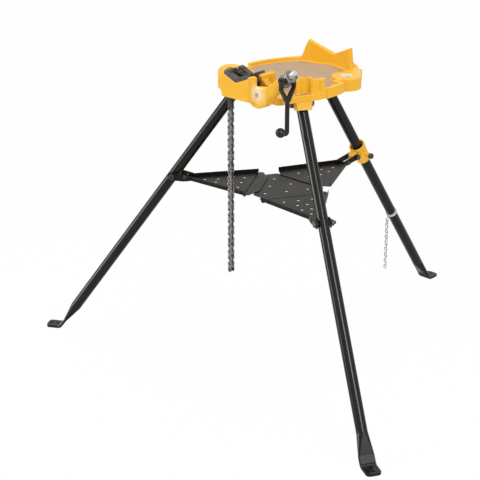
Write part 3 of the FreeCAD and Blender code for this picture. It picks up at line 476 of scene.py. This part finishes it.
def link_plate_blank(thickness):
    """One waisted plate between two pins, in the X-Y plane, pins at the origin and at PITCH along Y."""
    put_down_everything()
    bpy.ops.mesh.primitive_circle_add(vertices=20, radius=PLATE_HALF_WIDTH, fill_type="NGON",
                                      location=(0, 0, 0), rotation=(0, 0, math.radians(9)))
    plate = bpy.context.object
    fix_place(plate)
    pick(plate, "VERT", lambda v: v.co.y > 0)
    bpy.ops.transform.translate(value=(0, PITCH, 0))
    points = plate.data.vertices
    pick(plate, "EDGE", lambda e: abs(points[e.vertices[0]].co.y - points[e.vertices[1]].co.y) > 0.01)
    bpy.ops.mesh.subdivide(number_cuts=3)
    bpy.ops.object.mode_set(mode="OBJECT")
    for vertex in plate.data.vertices:
        off_middle = abs(vertex.co.y - PITCH / 2)
        if off_middle < 0.002:
            vertex.co.x *= 0.74
        elif off_middle < 0.006:
            vertex.co.x *= 0.84
    take(plate)
    bpy.ops.object.mode_set(mode="EDIT")
    bpy.ops.mesh.select_mode(type="FACE")
    bpy.ops.mesh.select_all(action="SELECT")
    bpy.ops.mesh.extrude_region_move(TRANSFORM_OT_translate={"value": (0, 0, thickness)})
    bpy.ops.mesh.select_all(action="SELECT")
    bpy.ops.mesh.normals_make_consistent(inside=False)
    bpy.ops.object.mode_set(mode="OBJECT")
    ease_edges(plate, 0.0004, 1, 50)
    return plate


def link_pin_blank():
    """Riveted pin along Z with eased ends, and its roller."""
    put_down_everything()
    bpy.ops.mesh.primitive_cylinder_add(vertices=14, radius=0.0031, depth=0.0170, location=(0, 0, 0))
    pin = bpy.context.object
    fix_place(pin)
    ease_edges(pin, 0.0008, 2, 50)
    put_down_everything()
    bpy.ops.mesh.primitive_cylinder_add(vertices=16, radius=0.0052, depth=0.0036, location=(0, 0, 0))
    roller = bpy.context.object
    fix_place(roller)
    return welded([pin, roller], "link_pin_blank")


pins_low, pins_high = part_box("seated_chain_pins")
CHAIN_LEVEL = (pins_low[1] + pins_high[1]) / 2
inner_plate = link_plate_blank(0.0029)
outer_plate = link_plate_blank(0.0024)
pin_blank = link_pin_blank()


def chain_length(name, pins, first_number, body, stands_for, plate_finish):
    """Plates and pins of one length of chain. pins[0] belongs to the neighbour before it."""
    plates = []
    rivets = []
    for number, (a, b) in enumerate(zip(pins, pins[1:])):
        run = (b - a).normalized()
        width = Vector((-run.z, 0, run.x))
        for side in (-1, 1):
            inner = (first_number + number) % 2 == 0
            blank = inner_plate if inner else outer_plate
            near = INNER_PLATE_OFFSET if inner else OUTER_PLATE_OFFSET
            away = Vector((0, side, 0))
            middle = Vector((a.x, CHAIN_LEVEL, a.z)) + away * near
            frame_matrix = Matrix((
                (width.x, run.x, away.x, middle.x),
                (width.y, run.y, away.y, middle.y),
                (width.z, run.z, away.z, middle.z),
                (0, 0, 0, 1)))
            plate = copy_of(blank, name + "_plate")
            place_mesh(plate, frame_matrix)
            if frame_matrix.to_3x3().determinant() < 0:
                plate.data.flip_normals()
            plates.append(plate)
        rivet = copy_of(pin_blank, name + "_pin")
        upright_to_level = Matrix.Rotation(math.pi / 2, 4, "X")
        place_mesh(rivet, Matrix.Translation((b.x, CHAIN_LEVEL, b.z)) @ upright_to_level)
        rivets.append(rivet)
    whole_plates = welded(plates, name + "_link_plates")
    whole_pins = welded(rivets, name + "_rivets")
    smooth(whole_plates, 40)
    smooth(whole_pins, 40)
    finish_piece(whole_plates, body, plate_finish, [stands_for[0]])
    finish_piece(whole_pins, body, PIN_STEEL, [stands_for[1]])


end_pin = centres_in("screw_end_pin")[0]
seated_pins = in_order(centres_in("seated_chain_pins"), end_pin)
# The seated run takes the darker copy of the chain steel as painted shade.
chain_length("seated_chain", seated_pins, 1, "head", ("seated_chain_plates", "seated_chain_pins"),
             PAINTED_SHADE_CHAIN)
last_pin = seated_pins[-1]
count = len(seated_pins)
for length_name in ("upper", "middle", "lower"):
    length_pins = [last_pin] + sorted(centres_in(length_name + "_chain_pins"), key=lambda p: -p.z)
    chain_length(length_name + "_chain", length_pins, count, length_name + "_chain",
                 (length_name + "_chain_plates", length_name + "_chain_pins"), CHAIN_STEEL)
    last_pin = length_pins[-1]
    count += len(length_pins) - 1
for blank in (inner_plate, outer_plate, pin_blank):
    bpy.data.objects.remove(blank)


# ---------------------------------------------------------------- screw thread
SCREW_AXIS = Vector((0.75614, 0, 0.65441)).normalized()
THREAD_PITCH = 0.0030
THREAD_TURNS = 21
THREAD_START = 0.036
THREAD_RADIUS = 0.00742
RIDGE_HALF_WIDTH = 0.0011


def screw_thread():
    """Ridge of the chain screw, wound round its plain core from THREAD_START below the nut's middle."""
    nut_low, nut_high = (Vector(c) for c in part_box("crank_nut"))
    nut_middle = (nut_low + nut_high) / 2
    put_down_everything()
    bpy.ops.mesh.primitive_circle_add(vertices=3, radius=RIDGE_HALF_WIDTH, location=(THREAD_RADIUS, 0, 0),
                                      rotation=(math.pi / 2, 0, 0))
    ridge = bpy.context.object
    fix_place(ridge)
    wind = ridge.modifiers.new("thread", "SCREW")
    wind.axis = "Z"
    wind.screw_offset = THREAD_PITCH
    wind.iterations = THREAD_TURNS
    wind.steps = 20
    wind.render_steps = 20
    fix_modifiers(ridge)
    turn = Vector((0, 0, 1)).rotation_difference(SCREW_AXIS).to_matrix().to_4x4()
    place_mesh(ridge, Matrix.Translation(nut_middle - SCREW_AXIS * THREAD_START) @ turn)
    ridge.name = "chain_screw_thread"
    take(ridge)
    bpy.ops.object.mode_set(mode="EDIT")
    bpy.ops.mesh.select_all(action="SELECT")
    bpy.ops.mesh.normals_make_consistent(inside=False)
    bpy.ops.object.mode_set(mode="OBJECT")
    smooth(ridge, 30)
    finish_piece(ridge, "chain_screw", ZINC)


screw_thread()


# ---------------------------------------------------------------- small link chain on the rear leg
KEEPER_LINK = 0.0170
KEEPER_WIDTH = 0.0120
KEEPER_WIRE = 0.0027
KEEPER_STEP = KEEPER_LINK - 2 * KEEPER_WIRE
STEP_SLACK = 0.05


def oval_link_blank(length, width, wire):
    """Welded wire link, long in Z, lying in the X-Z plane."""
    put_down_everything()
    bpy.ops.mesh.primitive_torus_add(major_segments=20, minor_segments=8,
                                     major_radius=width / 2 - wire / 2, minor_radius=wire / 2,
                                     location=(0, 0, 0), rotation=(math.pi / 2, 0, 0))
    link = bpy.context.object
    fix_place(link)
    stretch = (length - width) / 2
    for vertex in link.data.vertices:
        if abs(vertex.co.z) > 0.00001:
            vertex.co.z += math.copysign(stretch, vertex.co.z)
    smooth(link, 60)
    return link


def keeper_length(node, start):
    """Wire links hung one in the next over the length of a node. Gives the count for the next length."""
    low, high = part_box(node)
    middle_x = (low[0] + high[0]) / 2
    middle_y = (low[1] + high[1]) / 2
    drop = high[2] - low[2] - KEEPER_LINK
    steps = math.ceil(drop / KEEPER_STEP - STEP_SLACK)
    links = []
    for i in range(steps + 1):
        link = copy_of(keeper_blank, node + "_link")
        turn = Matrix.Rotation(math.pi / 2 * ((i + start) % 2), 4, "Z")
        level_z = high[2] - KEEPER_LINK / 2 - i * drop / steps
        place_mesh(link, Matrix.Translation((middle_x, middle_y, level_z)) @ turn)
        links.append(link)
    whole = welded(links, node + "_wire_links")
    finish_piece(whole, node, KEEPER_ZINC, [node])
    return start + steps + 1


keeper_blank = oval_link_blank(KEEPER_LINK, KEEPER_WIDTH, KEEPER_WIRE)
links_hung = keeper_length("keeper_chain_upper", 0)
keeper_length("keeper_chain_lower", links_hung)
bpy.data.objects.remove(keeper_blank)


# ---------------------------------------------------------------- studio
def add_lamp(name, size, strength, place, target):
    data = bpy.data.lights.new(name, "AREA")
    data.shape = "RECTANGLE"
    data.size, data.size_y = size
    data.energy = strength
    lamp = bpy.data.objects.new(name, data)
    lamp.location = place
    lamp.rotation_euler = (Vector(target) - Vector(place)).to_track_quat("-Z", "Y").to_euler()
    bpy.context.scene.collection.objects.link(lamp)


add_lamp("key_softbox", (1.2, 2.2), 46, (-1.9, -2.7, 2.2), (0, 0, 0.5))
add_lamp("side_softbox", (1.2, 2.2), 34, (3.0, -1.2, 1.8), (0, 0, 0.5))
add_lamp("top_softbox", (2.4, 2.4), 40, (0.2, 0.3, 3.6), (0, 0, 0.6))

WORLD_FILL = 0.42
FULL_WHITE = 1.0
BAND_CORE = math.radians(5)
BAND_EDGE = math.radians(17)
# Each band: azimuth in degrees, middle and half height as the direction's Z, strength.
REFLECTION_BANDS = ((-24.0, 0.72, 0.17, 12.0), (-138.0, 0.07, 0.15, 10.0))

world = bpy.data.worlds.new("studio")
bpy.context.scene.world = world
world.use_nodes = True
sky = world.node_tree
paths = sky.nodes.new("ShaderNodeLightPath").outputs
mirrored = calc(sky, "MAXIMUM", paths["Is Glossy Ray"], paths["Is Transmission Ray"])
shown = calc(sky, "MAXIMUM", paths["Is Camera Ray"], mirrored)
strength = ramp(sky, shown, 0.0, 1.0, WORLD_FILL, FULL_WHITE)
direction = split(sky, sky.nodes.new("ShaderNodeTexCoord").outputs["Generated"])
azimuth = calc(sky, "ARCTAN2", direction["Y"], direction["X"])


def near_middle(value, middle, core, edge):
    """1 within core of the middle, falling softly to 0 at edge."""
    away = calc(sky, "ABSOLUTE", calc(sky, "SUBTRACT", value, middle))
    return ramp(sky, away, edge, core, shape="SMOOTHSTEP")


for band_azimuth, band_rise, half_rise, band_strength in REFLECTION_BANDS:
    beside = near_middle(azimuth, math.radians(band_azimuth), BAND_CORE, BAND_EDGE)
    above = near_middle(direction["Z"], band_rise, half_rise / 2, half_rise)
    band = calc(sky, "MULTIPLY", calc(sky, "MULTIPLY", beside, above), paths["Is Glossy Ray"])
    strength = calc(sky, "MULTIPLY_ADD", band, band_strength, strength)
sky.nodes["Background"].inputs["Color"].default_value = (1, 1, 1, 1)
sky.links.new(strength, sky.nodes["Background"].inputs["Strength"])

# The camera sees nearly through the floor, so that feet below its level show when the legs are folded.
CLEAR_TO_CAMERA = 0.97
FLOOR_DROP = 0.0005
put_down_everything()
bpy.ops.mesh.primitive_plane_add(size=30, location=(0, 0, -FLOOR_DROP))
floor = bpy.context.object
floor.name = "studio_floor"
fix_place(floor)
floor_finish = bpy.data.materials.new("pale_floor")
floor_finish.use_nodes = True
floor_tree = floor_finish.node_tree
floor_shader = floor_tree.nodes["Principled BSDF"]
floor_shader.inputs["Base Color"].default_value = (0.95, 0.95, 0.95, 1)
floor_shader.inputs["Roughness"].default_value = 0.9
floor_shader.inputs["Specular IOR Level"].default_value = 0.1
camera_ray = floor_tree.nodes.new("ShaderNodeLightPath").outputs["Is Camera Ray"]
clear = floor_tree.nodes.new("ShaderNodeBsdfTransparent")
layers = floor_tree.nodes.new("ShaderNodeMixShader")
floor_tree.links.new(calc(floor_tree, "MULTIPLY", camera_ray, CLEAR_TO_CAMERA), layers.inputs["Fac"])
floor_tree.links.new(floor_shader.outputs["BSDF"], layers.inputs[1])
floor_tree.links.new(clear.outputs["BSDF"], layers.inputs[2])
floor_tree.links.new(layers.outputs["Shader"], floor_tree.nodes["Material Output"].inputs["Surface"])
floor.data.materials.append(floor_finish)

bpy.context.scene.view_settings.view_transform = "Standard"
